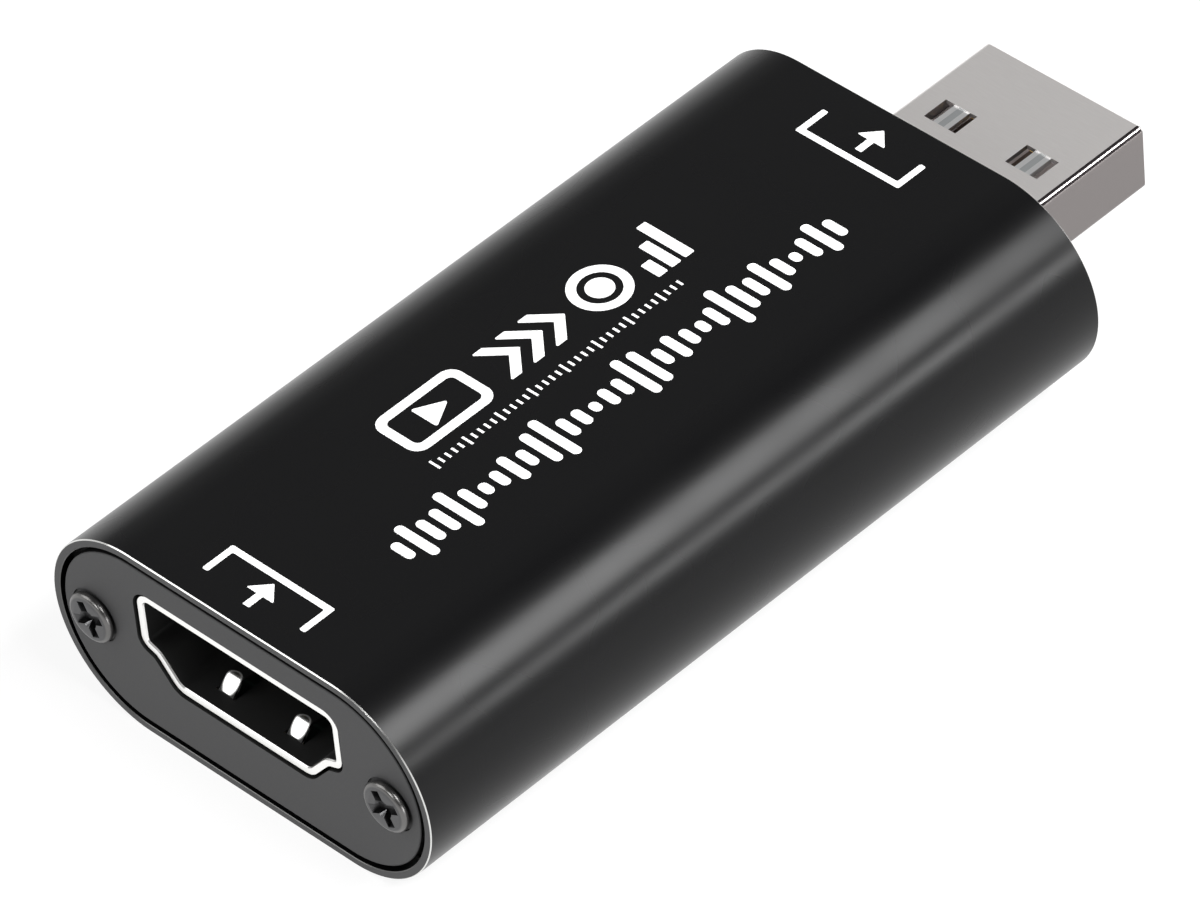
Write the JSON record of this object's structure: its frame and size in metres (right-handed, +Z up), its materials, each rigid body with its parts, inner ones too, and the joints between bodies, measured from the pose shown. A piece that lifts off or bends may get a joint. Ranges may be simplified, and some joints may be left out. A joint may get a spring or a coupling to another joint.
{
  "type": "video capture box",
  "caption": "Black obround aluminium stick with a recessed, screwed plate in each end: a D-shaped video input socket in one, a flat computer plug out of the other.",
  "frame": {"origin": "under the middle of the whole object, plug included, on the surface it lies on", "axes": "+Y from the socket's mouth to the plug's tip, +X to the right seen from the socket, +Z up through the printed face"},
  "size_m": [0.0288, 0.066, 0.0132],
  "materials": {
    "anodised_tube": "black anodised, satin, drawn along its length",
    "anodised_plate": "dark anodised, bead blasted",
    "blackened_steel": "blackened",
    "plated_sheet": "nickel plated",
    "plug_sheet": "nickel plated, satin",
    "gilt_contacts": "gold flashed",
    "black_moulding": "moulded",
    "board_laminate": "lacquered glass fibre",
    "chip_moulding": "moulded",
    "crystal_lid": "satin",
    "capacitor_ceramic": "fired",
    "resistor_ceramic": "lacquered",
    "ferrite": "fired"
  },
  "bodies": {
    "root": {"housing_tube": "anodised_tube", "input_end_plate": "anodised_plate", "output_end_plate": "anodised_plate", "input_plate_screws": "blackened_steel", "output_plate_screws": "blackened_steel", "circuit_board": "board_laminate", "socket_shell": "plated_sheet", "socket_insulator": "black_moulding", "socket_upper_contacts": "gilt_contacts", "socket_lower_contacts": "gilt_contacts", "plug_shell": "plug_sheet", "plug_insulator": "black_moulding", "plug_power_contacts": "gilt_contacts", "plug_data_contacts": "gilt_contacts", "capture_chip": "chip_moulding", "memory_chip": "chip_moulding", "crystal": "crystal_lid", "core_regulator": "chip_moulding", "io_regulator": "chip_moulding", "surge_arrays": "chip_moulding", "supply_filter_bead": "ferrite", "bulk_capacitors": "capacitor_ceramic", "decoupling_capacitors": "capacitor_ceramic", "resistors": "resistor_ceramic"}
  },
  "joints": []
}
